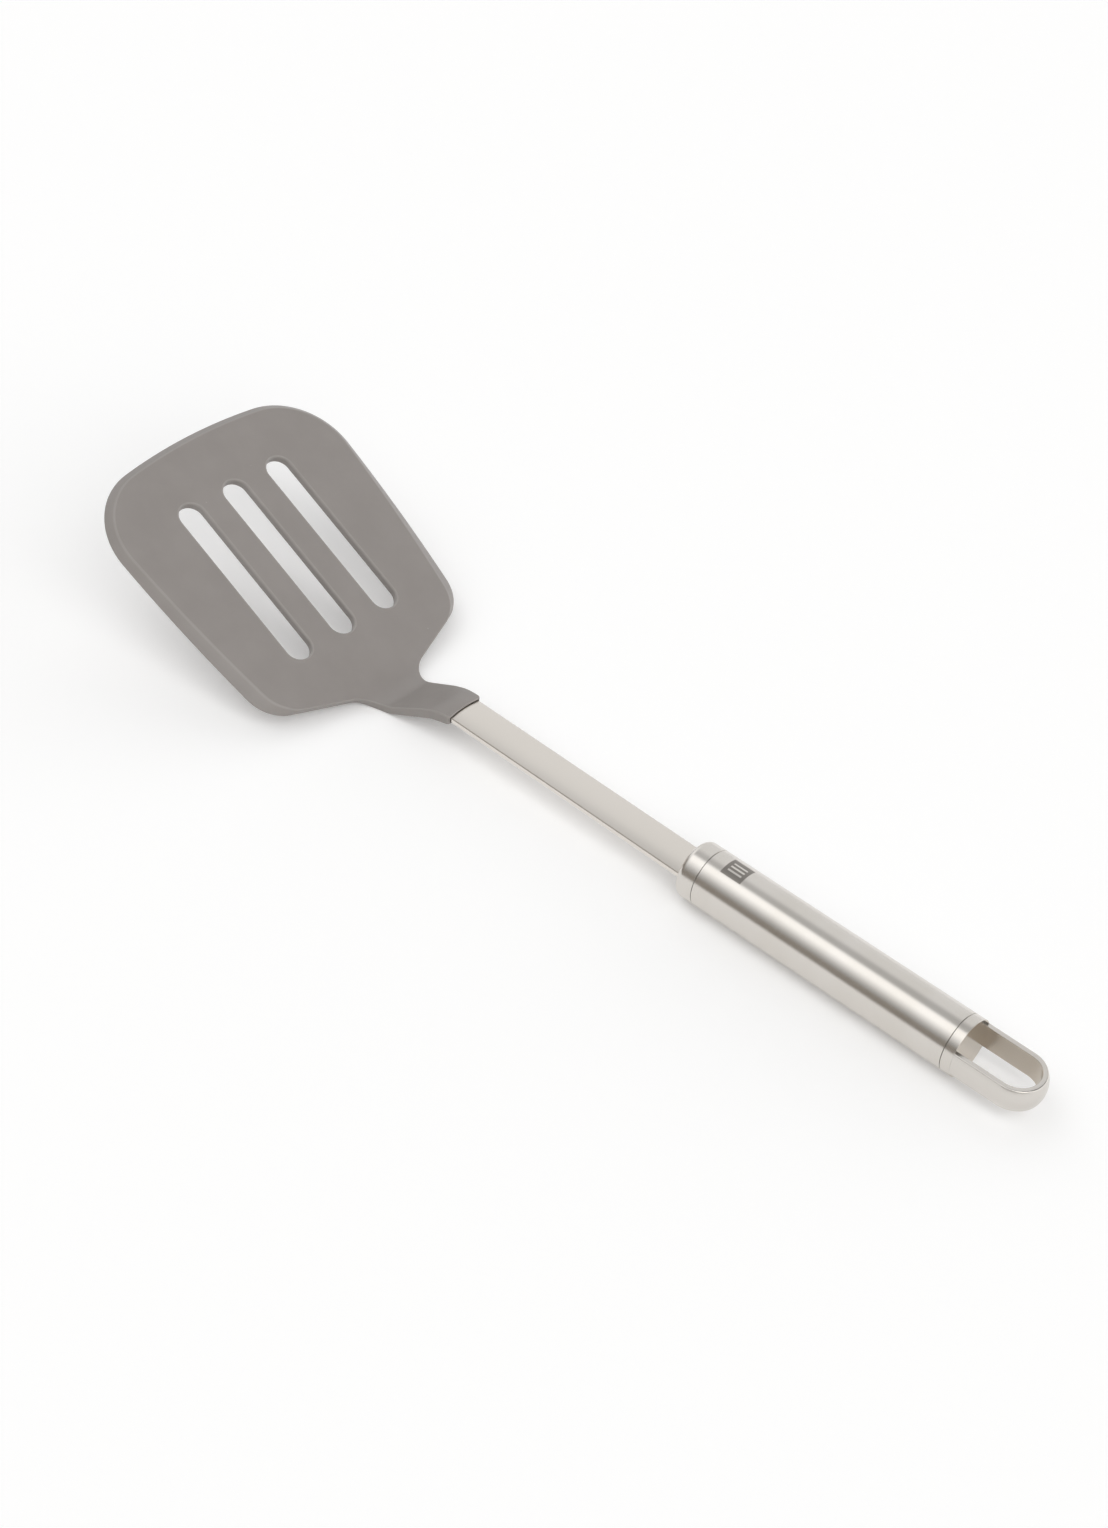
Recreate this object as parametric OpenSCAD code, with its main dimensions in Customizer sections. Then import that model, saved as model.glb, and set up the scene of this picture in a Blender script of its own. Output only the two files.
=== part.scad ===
// Slotted kitchen turner: silicone blade on a flat steel shank with a steel tube handle.
// Millimetres. X runs from the blade to the hanging loop, Z is up.
// The turner lies on its handle tube and on the heel of its blade.

/* [Handle tube] */
// Outside diameter of the handle tube
tube_d = 18; // [15:0.5:26]
// Wall thickness of the handle tube
tube_wall = 1; // [0.6:0.1:2]
// Length of the tube between its two end caps
tube_len = 86.4; // [60:0.2:140]
// Width of the hairline seam at each end of the tube
seam_gap = 0.15; // [0.05:0.05:0.4]

/* [Front cap] */
// Visible length of the front cap
front_len = 6.3; // [5:0.1:12]
// Rounding of the front cap's leading edge
front_edge_r = 2; // [0.4:0.1:3]
// Thickness of the end wall that the shank passes through
front_wall = 4; // [2:0.1:5]
// Length of the front spigot inside the tube
front_spigot = 8; // [4:0.5:16]
// Wall thickness of both spigots
spigot_wall = 1.2; // [0.8:0.1:2]
// Clearance between each spigot and the tube, bonded when the handle is closed
spigot_fit = 0.05; // [0.02:0.01:0.2]
// Clearance around the bar in the front cap
bar_fit = 0.05; // [0.02:0.01:0.2]
// Thickness of the braze behind the front wall
braze_t = 1.2; // [0.6:0.1:2.5]

/* [Rear cap] */
// Visible length of the rear cap
rear_len = 3.2; // [3:0.1:8]
// Thickness of the rear cap's end wall
rear_wall = 3; // [2:0.1:3.2]
// Length of the rear spigot inside the tube
rear_spigot = 7; // [4:0.5:16]
// Rounding of the rear cap's edge
rear_edge_r = 0.2; // [0.1:0.1:1]

/* [Hanging loop] */
// Distance from the tube's outside to the edges of the loop's outer face
loop_inset = 0.9; // [0.6:0.1:2.5]
// Distance from the rear cap to the far edges of the loop's outer face
loop_reach = 23.1; // [16:0.2:45]
// Thickness of the loop strip at its edges
strip_t = 1.45; // [1.2:0.05:2.5]
// Rise of the loop's crowned outer face above its edges
strip_crown = 0.85; // [0.1:0.05:0.9]
// Height of the loop strip
strip_h = 7.8; // [6:0.2:9]
// Thickness of the tenon at each end of the strip
tenon_t = 0.9; // [0.8:0.05:1.2]
// Height of the tenon at each end of the strip
tenon_h = 5.6; // [3:0.2:6]
// Depth of the pockets that hold the two tenons
pocket = 2; // [1:0.1:2]
// Clearance around the tenons in their pockets
pocket_fit = 0.05; // [0.02:0.01:0.2]

/* [Shank] */
// Width of the flat bar
shank_w = 12; // [8:0.2:13]
// Height of the bar's straight side
shank_side = 1.6; // [1.2:0.1:2.6]
// Height of the rounded crown on top of the bar
shank_crown = 0.7; // [0.3:0.1:1.2]
// Length of bar seen between the handle and the blade
shank_len = 88.9; // [50:0.5:160]
// Upward lean of the bar from the handle to the blade, in degrees
shank_rise = 1.06; // [0:0.02:3]
// Length of bar inside the handle
shank_root = 14; // [10:0.5:40]
// Width of the thinner tongue inside the blade
tongue_w = 8; // [6:0.5:8]
// Thickness of the tongue
tongue_t = 1; // [0.8:0.1:1.2]
// Depth of the tongue's middle below the top of the neck
tongue_drop = 1.6; // [1.4:0.05:1.7]
// Length of the tongue after its bend
tongue_len = 11.5; // [9:0.5:12]
// Inside rounding of the tongue's bend
tongue_bend_r = 5.2; // [3:0.1:8]
// Diameter of the anchor hole in the tongue
anchor_d = 3; // [2:0.1:4]

/* [Collar and neck] */
// Thickness of silicone above the bar
collar_lip = 0.8; // [0.6:0.1:1.5]
// Thickness of silicone below the bar
collar_under = 0.6; // [0.3:0.1:1]
// Thickness of silicone at each side of the bar
collar_side = 1; // [0.6:0.1:2]
// Length of bar covered by the collar
collar_cover = 2; // [1:0.2:3]
// Length from the end of the collar to the heel
neck_len = 25.8; // [24:0.2:34]
// Downward slope of the neck, in degrees
neck_slope = 28.4; // [24:0.2:32]
// Slope of the neck's underside just behind the heel, in degrees
neck_under = 25; // [22:0.5:27]
// Slope of the neck's underside next to the collar, in degrees
under_slope = 12.5; // [8:0.5:16]
// Rounding of the neck's upper bend
neck_bend_r = 14; // [4:0.5:16]
// Rounding of the slight bend under the neck
under_bend_r = 10; // [4:0.5:16]
// Width of the neck where it meets the blade
neck_w = 17.6; // [16:0.2:24]
// Rounding between the neck and the shoulders
neck_fillet_r = 9; // [4:0.5:14]
// Rounding of the valley on top of the heel
valley_r = 9; // [4:0.5:11]
// Rounding of the heel underneath
heel_r = 12; // [8:0.5:16]
// Height of the valley's corner above the floor
heel_lift = 1.5; // [1.2:0.1:2.2]

/* [Blade] */
// Upward angle of the blade, in degrees
blade_angle = 26.5; // [20:0.5:32]
// Thickness of the blade
blade_t = 2.8; // [2.6:0.1:4]
// Length of the blade from the heel to its front edge
blade_len = 104.8; // [90:0.2:140]
// Widest distance across the front corners
blade_w = 94.2; // [84:0.2:120]
// Rounding of the two front corners
corner_r = 24.1; // [14:0.1:28]
// Radius of the bowed front edge
front_r = 194; // [140:1:500]
// Radius of the bowed sides
side_r = 570; // [400:10:900]
// Distance between the centres of the two rear shoulders
shoulder_w = 59.4; // [56:0.2:76]
// Distance from the heel to the shoulder centres
shoulder_u = 25.2; // [22:0.1:30]
// Rounding of the two rear shoulders
shoulder_r = 13.2; // [8:0.1:14]
// Angle of the shoulder edges, in degrees
shoulder_angle = 19; // [15:0.5:26]
// Width of the bevel along the front edge and corners
bevel_w = 2.4; // [1:0.1:3.5]
// Width of the bevel where it runs out at the shoulders
bevel_rear_w = 4; // [1:0.1:5]
// Height of the bevel
bevel_h = 2.4; // [1:0.1:2.4]

/* [Slots] */
// Width of each slot
slot_w = 8.8; // [5:0.1:10]
// Distance between slot centres
slot_pitch = 18.2; // [16:0.1:20]
// Distance from the heel to the slots
slot_start = 24.8; // [23:0.2:34]
// Distance from the slots to the blade's front edge
slot_front = 19.8; // [16:0.2:50]

/* [Core] */
// Thickness of the stiffening core
core_t = 1.2; // [0.8:0.1:1.4]
// Distance from the blade's edge to the core
core_inset = 7; // [5:0.2:7.4]
// Silicone between each slot and the core
core_gap = 2; // [1:0.1:2.6]
// Width of the core in the neck
core_neck_w = 12; // [11:0.2:13]
// Distance from the collar to the core's rear end
core_start = 9; // [8:0.2:12]

/* [Hidden] */
$fn = 96;
eps = 0.01;
// Length of a cutter beyond the faces that it cuts
over = 1;
tube_r = tube_d / 2;
bore_r = tube_r - tube_wall;
spigot_r = bore_r - spigot_fit;
hollow_r = spigot_r - spigot_wall;
axis_z = tube_r;

// Places along X, measured from the front seam
rear_x = tube_len + 2 * seam_gap;
end_x = rear_x + rear_len;
loop_w = tube_d - 2 * loop_inset;
loop_x = end_x + loop_reach - loop_w / 2;
tail_x = end_x + loop_reach + strip_crown;
collar_x = -front_len - shank_len;
heel_x = collar_x - neck_len;
tip_x = heel_x - cos(blade_angle) * blade_len - sin(blade_angle) * blade_t;
mid_x = (tip_x + tail_x) / 2;

// Rounded corner at p between the lines to a and b
function unit(v) = v / norm(v);
function turn(a, p, b) = acos(max(-1, min(1, unit(p - a) * unit(b - p))));
function bend(a, p, b, r, n = 10) =
  let (ua = unit(a - p), ub = unit(b - p), t = turn(a, p, b))
  let (c = p + unit(ua + ub) * r / cos(t / 2))
  let (s = p + ua * r * tan(t / 2) - c, e = p + ub * r * tan(t / 2) - c)
  [for (i = [0:n]) c + (s * sin(t * (n - i) / n) + e * sin(t * i / n)) / sin(t)];
// Where two lines meet, each given by a point and its slope
function meet(p, m, q, k) =
  let (x = (q[1] - p[1] + m * p[0] - k * q[0]) / (m - k))
  [x, p[1] + m * (x - p[0])];

// Side view of the neck, i is the distance inside the silicone surface
heel = [heel_x, heel_lift];
u_dir = [-cos(blade_angle), sin(blade_angle)];
n_dir = [sin(blade_angle), cos(blade_angle)];
rise = -tan(shank_rise);
slope = tan(neck_slope);
under = tan(under_slope);
top_h = shank_side / 2 + shank_crown + collar_lip;
low_h = shank_side / 2 + collar_under;
heel_c = heel_x + ((heel_r - blade_t) - n_dir[1] * (heel_r - heel_lift)) / n_dir[0];
function bar_pt(h) = [0, axis_z + h / cos(shank_rise)];
function top_pt(i) = heel - [0, i / cos(neck_slope)];
function blade_pt(i) = heel - n_dir * i;
function low_pt(i) =
  [heel_c + heel_r * sin(neck_under), heel_r * (1 - cos(neck_under)) + i / cos(neck_under)];
collar_low = bar_pt(-low_h) + [collar_x, collar_x * rise];
function top_bend(i) = meet(bar_pt(top_h - i), rise, top_pt(i), slope);
function valley(i) = meet(top_pt(i), slope, blade_pt(i), -tan(blade_angle));
function heel_low(i) = meet(low_pt(i), tan(neck_under), blade_pt(blade_t - i), -tan(blade_angle));
function low_bend(i) =
  meet(collar_low + [0, i / cos(under_slope)], under, low_pt(i), tan(neck_under));
// Length of blade that the neck's own form takes in
reach = slot_start - 10.8;
function blade_end(i) = heel + u_dir * reach - n_dir * i;
function neck_line(i) = concat(
  bend(top_bend(i), valley(i), blade_end(i), valley_r + i),
  [blade_end(i), blade_end(blade_t - i)],
  bend(blade_end(blade_t - i), heel_low(i), low_bend(i), heel_r - i));

// Outline of the blade in its own plane, as points along and across
corner_v = blade_w / 2 - corner_r;
corner_u = blade_len - front_r + sqrt(pow(front_r - corner_r, 2) - pow(corner_v, 2));
shoulder_v = shoulder_w / 2;
slot_len = blade_len - slot_start - slot_front;
// Where the two shoulder edges end inside the neck, for the blade and for its core
slab_u = shoulder_u - 18.8;
core_u = shoulder_u - 12.8;
function arc(u, v, r, a, b, n) =
  [for (i = [0:n]) let (t = a + (b - a) * i / n) [u + r * sin(t), v + r * cos(t)]];
function half(i, su, sv, sr, u0) =
  let (du = corner_u - su, dv = corner_v - sv, span = norm([du, dv]))
  let (d1 = side_r - corner_r, d2 = side_r - i - sr)
  let (turn = atan2(du, dv) + acos((span * span + d2 * d2 - d1 * d1) / (2 * span * d2)))
  let (c = [su + d2 * sin(turn), sv + d2 * cos(turn)])
  let (side = atan2(corner_u - c[0], corner_v - c[1]))
  let (bow = arc(c[0], c[1], side_r - i, side, turn - 180, 6))
  let (lead = atan2(corner_u - blade_len + front_r, corner_v))
  let (q = [su - sr * cos(shoulder_angle), sv + sr * sin(shoulder_angle)])
  concat(
    arc(blade_len - front_r, 0, front_r - i, 90, lead, 5),
    arc(corner_u, corner_v, corner_r - i, lead, side, 14),
    [for (k = [1:5]) bow[k]],
    arc(su, sv, sr, turn - 180, shoulder_angle - 90, 9),
    [[u0, q[1] - (q[0] - u0) / tan(shoulder_angle)]]);
function both(h) = concat(h, [for (i = [len(h) - 1:-1:1]) [h[i][0], -h[i][1]]]);
shift = bevel_rear_w / cos(shoulder_angle);
full_half = half(0, shoulder_u, shoulder_v, shoulder_r, slab_u);
top_half = half(bevel_w, shoulder_u - shift * sin(shoulder_angle),
  shoulder_v - shift * cos(shoulder_angle), shoulder_r, slab_u);
core_half = half(core_inset, shoulder_u, shoulder_v, shoulder_r - core_inset, core_u);

// Plan view of the neck
shoulder_q = full_half[len(full_half) - 2];
function plan(p) = [heel_x - cos(blade_angle) * p[0], p[1]];
collar_v = shank_w / 2 + collar_side;
fork = meet([heel_x, neck_w / 2], (collar_v - neck_w / 2) / neck_len,
  plan(shoulder_q), -1 / (cos(blade_angle) * tan(shoulder_angle)));
neck_side = bend([collar_x, collar_v], fork, plan(shoulder_q), neck_fillet_r);
neck_half = concat([[collar_x, collar_v]], neck_side,
  [[heel_x - cos(blade_angle) * (reach - 1), neck_side[len(neck_side) - 1][1] - 0.5]]);

module lay_down() {
  translate([-mid_x, 0, 0]) children();
}

module along_x() {
  rotate([0, 90, 0]) children();
}

module at_blade() {
  translate([heel_x, 0, heel_lift]) rotate([0, blade_angle, 0]) rotate([0, 0, 180]) children();
}

module at_bar() {
  translate([0, 0, axis_z]) rotate([0, shank_rise, 0]) children();
}

module side_view(w) {
  rotate([90, 0, 0]) linear_extrude(w, center = true) children();
}

// Cross section of the bar, flat below and crowned on top
crown_r = (pow(shank_w / 2, 2) + pow(shank_crown, 2)) / (2 * shank_crown);
crown_z = shank_side / 2 + shank_crown - crown_r;
module bar_section(gap) {
  w = shank_w / 2 + gap;
  r = crown_r + gap;
  a = asin(w / r);
  polygon(concat(
    [[-w, -shank_side / 2 - gap], [w, -shank_side / 2 - gap]],
    [for (i = [12:-1:-12]) [r * sin(a * i / 12), crown_z + r * cos(a * i / 12)]]));
}

module bar(gap = 0) {
  at_bar() translate([collar_x - collar_cover, 0, 0]) rotate([90, 0, 90])
    linear_extrude(shank_root - collar_x + collar_cover) bar_section(gap);
}

// Thinner tongue of the bar, bent to follow the neck
function tongue_bend(h) = meet(bar_pt(h), rise, top_pt(top_h - h), slope);
tongue_h = top_h - tongue_drop;
function tongue_end(h) =
  tongue_bend(tongue_h) - [cos(neck_slope), sin(neck_slope)] * tongue_len
  + [-sin(neck_slope), cos(neck_slope)] * (h - tongue_h);
function tongue_start(h) =
  bar_pt(0) + [collar_x, collar_x * rise] - [over, over * rise]
  + [sin(shank_rise), cos(shank_rise)] * h;
module tongue() {
  top = tongue_h + tongue_t / 2;
  low = tongue_h - tongue_t / 2;
  side_view(tongue_w) polygon(concat(
    [tongue_start(top)],
    bend(tongue_start(top), tongue_bend(top), tongue_end(top), tongue_bend_r + tongue_t, 6),
    [tongue_end(top), tongue_end(low)],
    bend(tongue_end(low), tongue_bend(low), tongue_start(low), tongue_bend_r, 6),
    [tongue_start(low)]));
}

module anchor_hole() {
  p = tongue_end(tongue_h) + [cos(neck_slope), sin(neck_slope)] * anchor_d * 1.3;
  translate([p[0], 0, p[1]]) rotate([0, -neck_slope, 0])
    cylinder(d = anchor_d, h = tongue_t + 2 * over, center = true);
}

module tongue_plate() {
  difference() {
    tongue();
    anchor_hole();
  }
}

module slot_row(w, low, high) {
  for (k = [-1:1]) translate([slot_start + slot_w / 2, k * slot_pitch, low]) {
    cylinder(d = w, h = high - low);
    translate([slot_len - slot_w, 0, 0]) cylinder(d = w, h = high - low);
    translate([0, -w / 2, 0]) cube([slot_len - slot_w, w, high - low]);
  }
}

// The core forks round the tongue, and silicone fills the anchor hole
module core_form() {
  i = (blade_t - core_t) / 2;
  back = collar_x - core_start;
  fork_x = tongue_end(0)[0] - over;
  top_back = [back, top_pt(i)[1] + slope * (back - heel_x)];
  low_back = [back, low_pt(i)[1] + tan(neck_under) * (back - low_pt(i)[0])];
  difference() {
    side_view(core_neck_w) polygon(concat([top_back], neck_line(i), [low_back]));
    translate([fork_x, -tongue_w / 2, 0]) cube([collar_x - fork_x, tongue_w, axis_z + tube_d]);
  }
  at_blade() difference() {
    translate([0, 0, -(blade_t + core_t) / 2]) linear_extrude(core_t) polygon(both(core_half));
    slot_row(slot_w + 2 * core_gap, -blade_t - over, over);
  }
}

// Outer form of the silicone without its slots and inner spaces
module blade_form() {
  intersection() {
    side_view(4 * neck_w) polygon(concat(
      [bar_pt(top_h) + [collar_x, collar_x * rise]],
      bend(bar_pt(top_h), top_bend(0), valley(0), neck_bend_r),
      neck_line(0),
      bend(heel_low(0), low_bend(0), collar_low, under_bend_r, 6),
      [collar_low]));
    linear_extrude(axis_z + 2 * tube_d) polygon(concat(neck_half, [for (i = [len(neck_half) - 1:-1:0])
      [neck_half[i][0], -neck_half[i][1]]]));
    at_bar() translate([heel_x - 2 * reach, 0, crown_z]) along_x()
      cylinder(r = crown_r + collar_lip, h = 2 * reach - heel_x, $fn = 240);
  }
  at_blade() hull() {
    translate([0, 0, -blade_t]) linear_extrude(blade_t - bevel_h) polygon(both(full_half));
    translate([0, 0, -eps]) linear_extrude(eps) polygon(both(top_half));
  }
}

module silicone_blade() {
  color([0.36, 0.34, 0.33]) lay_down() difference() {
    blade_form();
    core_form();
    bar();
    tongue_plate();
    at_blade() slot_row(slot_w, -blade_t - over, over);
  }
}

module blade_core() {
  color([0.2, 0.2, 0.22]) lay_down() core_form();
}

module shank() {
  color([0.76, 0.74, 0.71]) lay_down() {
    bar();
    tongue_plate();
  }
}

module shank_braze() {
  color([0.62, 0.6, 0.56]) lay_down() difference() {
    translate([front_wall - front_len, 0, axis_z]) along_x() cylinder(r = hollow_r, h = braze_t);
    bar();
  }
}

module front_cap() {
  e = front_edge_r;
  color([0.78, 0.76, 0.73]) lay_down() difference() {
    translate([0, 0, axis_z]) along_x() rotate_extrude() polygon(concat(
      [[0, -front_len]],
      [for (i = [0:8]) [tube_r - e + e * sin(90 * i / 8), e - front_len - e * cos(90 * i / 8)]],
      [[tube_r, 0], [spigot_r, 0], [spigot_r, front_spigot], [hollow_r, front_spigot],
        [hollow_r, front_wall - front_len], [0, front_wall - front_len]]));
    bar(bar_fit);
  }
}

module handle_tube() {
  color([0.78, 0.76, 0.73]) lay_down() translate([seam_gap, 0, axis_z]) along_x() difference() {
    cylinder(r = tube_r, h = tube_len);
    translate([0, 0, -over]) cylinder(r = bore_r, h = tube_len + 2 * over);
  }
}

// Section of the loop strip, flat inside and crowned outside, k is the side that it faces
module strip_section(k = 1) {
  e = strip_t / 4;
  h = strip_h / 2;
  r = (h * h + strip_crown * strip_crown) / (2 * strip_crown);
  c = strip_t / 2 + strip_crown - r;
  m = sqrt((r - e) * (r - e) - (h - e) * (h - e));
  t = atan2(h - e, m);
  side = concat(
    [for (i = [0:12]) [c + r * cos(t * i / 12), r * sin(t * i / 12)]],
    [for (i = [1:3]) let (a = t + (90 - t) * i / 3) [c + m + e * cos(a), h - e + e * sin(a)]],
    [for (i = [0:3]) let (a = 90 + 30 * i) [e - strip_t / 2 + e * cos(a), h - e + e * sin(a)]]);
  polygon([for (p = concat(side, [for (i = [len(side) - 1:-1:1]) [side[i][0], -side[i][1]]])) [k * p[0], p[1]]]);
}

// Section of a tenon with rounded edges, w thick and h high
module tenon_section(w, h) {
  e = strip_t / 4;
  polygon([for (c = [[1, 1, 0], [-1, 1, 90], [-1, -1, 180], [1, -1, 270]], i = [0:3])
    let (a = c[2] + 30 * i)
    [c[0] * (w / 2 - e) + e * cos(a), c[1] * (h / 2 - e) + e * sin(a)]]);
}

// Straight leg of the loop, k is the side it stands on
module strip_leg(k) {
  translate([end_x, k * (loop_w - strip_t) / 2, axis_z]) rotate([90, 0, 90])
    linear_extrude(loop_x - end_x) strip_section(k);
}

// Tenon of one leg, or with a gap the pocket that holds it
module tenon(k, gap = 0) {
  translate([end_x - pocket, k * (loop_w - strip_t) / 2, axis_z]) rotate([90, 0, 90])
    linear_extrude(pocket + over) tenon_section(tenon_t + 2 * gap, tenon_h + 2 * gap);
}

module rear_cap() {
  e = rear_edge_r;
  color([0.78, 0.76, 0.73]) lay_down() difference() {
    translate([0, 0, axis_z]) along_x() rotate_extrude() polygon(concat(
      [[0, end_x - rear_wall], [hollow_r, end_x - rear_wall], [hollow_r, rear_x - rear_spigot],
        [spigot_r, rear_x - rear_spigot], [spigot_r, rear_x], [tube_r, rear_x]],
      [for (i = [0:4]) [tube_r - e + e * cos(90 * i / 4), end_x - e + e * sin(90 * i / 4)]],
      [[0, end_x]]));
    for (k = [-1, 1]) tenon(k, pocket_fit);
  }
}

module hanging_loop() {
  color([0.78, 0.76, 0.73]) lay_down() {
    for (k = [-1, 1]) {
      strip_leg(k);
      tenon(k);
    }
    translate([loop_x, 0, axis_z]) rotate([0, 0, -90]) rotate_extrude(angle = 180)
      translate([(loop_w - strip_t) / 2, 0]) strip_section();
  }
}

silicone_blade();
blade_core();
shank();
shank_braze();
front_cap();
handle_tube();
rear_cap();
hanging_loop();
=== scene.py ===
# %% [markdown]
# # A slotted turner in silicone and satin steel
# The turner is a soft silicone blade moulded over a flat steel bar, and the bar is fixed in a round tube
# handle with a cap at each end and a hanging loop. This lesson dresses its CAD solids for a
# photograph-like render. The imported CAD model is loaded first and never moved: every size below is read
# from it or written beside it in millimetres, so the pieces fall into place without any fitting by eye.

# %% Load the frame
import math

import bmesh
import bpy
from mathutils import Matrix, Vector


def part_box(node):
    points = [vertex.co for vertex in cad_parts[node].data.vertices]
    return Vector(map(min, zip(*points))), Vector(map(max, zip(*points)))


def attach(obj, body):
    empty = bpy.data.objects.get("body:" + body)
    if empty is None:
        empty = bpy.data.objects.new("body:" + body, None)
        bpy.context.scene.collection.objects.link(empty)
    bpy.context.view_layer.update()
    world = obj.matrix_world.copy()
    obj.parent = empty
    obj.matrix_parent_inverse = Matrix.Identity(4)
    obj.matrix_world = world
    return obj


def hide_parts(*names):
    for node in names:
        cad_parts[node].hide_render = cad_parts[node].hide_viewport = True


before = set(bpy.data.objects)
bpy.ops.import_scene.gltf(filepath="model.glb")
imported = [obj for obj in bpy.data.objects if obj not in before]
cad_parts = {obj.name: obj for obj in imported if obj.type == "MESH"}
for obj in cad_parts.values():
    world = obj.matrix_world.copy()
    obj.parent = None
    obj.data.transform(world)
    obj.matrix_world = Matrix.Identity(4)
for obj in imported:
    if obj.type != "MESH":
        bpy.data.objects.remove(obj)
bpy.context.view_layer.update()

MM = 0.001


def box_mm(node):
    """Lowest and highest corner of a CAD node, in millimetres."""
    low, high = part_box(node)
    return low / MM, high / MM


def shown_mm(corner):
    """A place in metres as rounded millimetres, for printing."""
    return [round(c / MM, 2) for c in corner]


print("nodes:", ", ".join(sorted(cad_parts)))

# %% [markdown]
# ## The camera
# The picture was taken from above and behind the handle, with the camera turned a little about its own
# axis. A camera can be aimed with a constraint, but its three directions are easy to build from angles:
# one that points back to the lens, one to the right and one up. The roll then turns the last two about
# the first.

# %% Place the camera
AIM = Vector((-17.645, 11.516, 0)) * MM
DISTANCE = 832.67 * MM
AZIMUTH, ELEVATION, ROLL = (math.radians(a) for a in (37.825, 41.488, 6.073))
SENSOR_MM = 36
FOCAL_PX, LONG_SIDE_PX = 2800, 1528

back = Vector((math.sin(AZIMUTH) * math.cos(ELEVATION), -math.cos(AZIMUTH) * math.cos(ELEVATION),
               math.sin(ELEVATION)))
level = Vector((math.cos(AZIMUTH), math.sin(AZIMUTH), 0))
upright = back.cross(level)
right = level * math.cos(ROLL) + upright * math.sin(ROLL)
up = upright * math.cos(ROLL) - level * math.sin(ROLL)

camera = bpy.data.objects.new("camera", bpy.data.cameras.new("camera"))
camera.data.sensor_width = SENSOR_MM
camera.data.lens = FOCAL_PX / LONG_SIDE_PX * SENSOR_MM
aimed = Matrix((right, up, back)).transposed().to_4x4()
camera.matrix_world = Matrix.Translation(AIM + back * DISTANCE) @ aimed
bpy.context.scene.collection.objects.link(camera)
bpy.context.scene.camera = camera
print("lens", round(camera.data.lens, 2), "mm, camera at", shown_mm(camera.matrix_world.translation), "mm")

# %% [markdown]
# ## A grain that several finishes share
# Satin steel is never one even mirror: the belt that dulls it leaves fine scratches, and handling leaves
# soft cloudy patches. Both are noise, one stretched and fine, one broad. They could be drawn again in
# every material, but a node group keeps one recipe, and each metal then asks for its own strength and
# stretch. A few helpers come first, because a node that takes a number or a link in the same place keeps
# trees short.

# %% Helpers for node trees
def add(tree, kind, **values):
    """A new node with its inputs or properties set by name."""
    node = tree.nodes.new(kind)
    for name, value in values.items():
        label = name.replace("_", " ")
        if label in node.inputs:
            node.inputs[label].default_value = value
        else:
            setattr(node, name, value)
    return node


def feed(tree, socket, value):
    """Links an output to an input, or sets the input to a number or a colour."""
    if isinstance(value, bpy.types.NodeSocket):
        tree.links.new(value, socket)
    elif isinstance(value, tuple):
        socket.default_value = (*value, 1)
    else:
        socket.default_value = value


def between(tree, value, low, high, start, end, smooth=False):
    """Maps a value from one range to another and holds it there."""
    node = add(tree, "ShaderNodeMapRange", interpolation_type="SMOOTHSTEP" if smooth else "LINEAR")
    labels = ("Value", "From Min", "From Max", "To Min", "To Max")
    for label, given in zip(labels, (value, low, high, start, end)):
        feed(tree, node.inputs[label], given)
    return node.outputs["Result"]


# %% Satin grain group
FINE_SPAN, BROAD_SPAN = (0.3, 0.7), (0.35, 0.65)


def make_satin_grain():
    """Fine scratches and broad cloudy patches, as roughness, height and a patch mask."""
    group = bpy.data.node_groups.new("satin_grain", "ShaderNodeTree")
    for label, kind in (("Vector", "Vector"), ("Smooth", "Float"), ("Dull", "Float")):
        group.interface.new_socket(label, in_out="INPUT", socket_type="NodeSocket" + kind)
    for label in ("Roughness", "Height", "Patches"):
        group.interface.new_socket(label, in_out="OUTPUT", socket_type="NodeSocketFloat")
    asked = add(group, "NodeGroupInput").outputs
    given = add(group, "NodeGroupOutput").inputs
    fine = add(group, "ShaderNodeTexNoise", Scale=1.0, Detail=3.0, Roughness=0.6)
    broad = add(group, "ShaderNodeTexNoise", Scale=0.012, Detail=2.0, Roughness=0.5)
    for noise in (fine, broad):
        feed(group, noise.inputs["Vector"], asked["Vector"])
    scratched = between(group, fine.outputs["Fac"], *FINE_SPAN, asked["Smooth"], asked["Dull"])
    feed(group, given["Roughness"], scratched)
    feed(group, given["Height"], fine.outputs["Fac"])
    feed(group, given["Patches"], between(group, broad.outputs["Fac"], *BROAD_SPAN, 0, 1))
    return group


satin_grain = make_satin_grain()
print("group", satin_grain.name, "has sockets", [s.name for s in satin_grain.interface.items_tree])

# %% [markdown]
# ## Satin stainless steel
# The handle, the bar and the loop are the same steel with the grain lying in different directions. A
# metal's colour is the colour of its reflections, so the base colour stays a light warm grey and the
# roomful of light does the rest. The grain group drives roughness and a very shallow bump. On the inner
# side of the loop and the end of the handle, an attribute on their faces turns the steel a little deeper
# and
# browner: painted shade, standing for the dim reflections that fall there between the parts.

# %% Helpers for finishes
# A Mix node keeps its sockets for numbers, vectors and colours side by side, so they are picked by place
COLOUR_SOCKETS, COLOUR_RESULT = (0, 6, 7), 2


def new_material(name):
    """An empty node material with its shader and a source of object coordinates."""
    material = bpy.data.materials.new(name)
    material.use_nodes = True
    tree = material.node_tree
    return material, tree, tree.nodes["Principled BSDF"], add(tree, "ShaderNodeTexCoord").outputs["Object"]


def blend_colours(tree, factor, first, second):
    """Mixes two colours, each a colour or an output."""
    node = add(tree, "ShaderNodeMix", data_type="RGBA")
    for socket, given in zip(COLOUR_SOCKETS, (factor, first, second)):
        feed(tree, node.inputs[socket], given)
    return node.outputs[COLOUR_RESULT]


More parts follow.
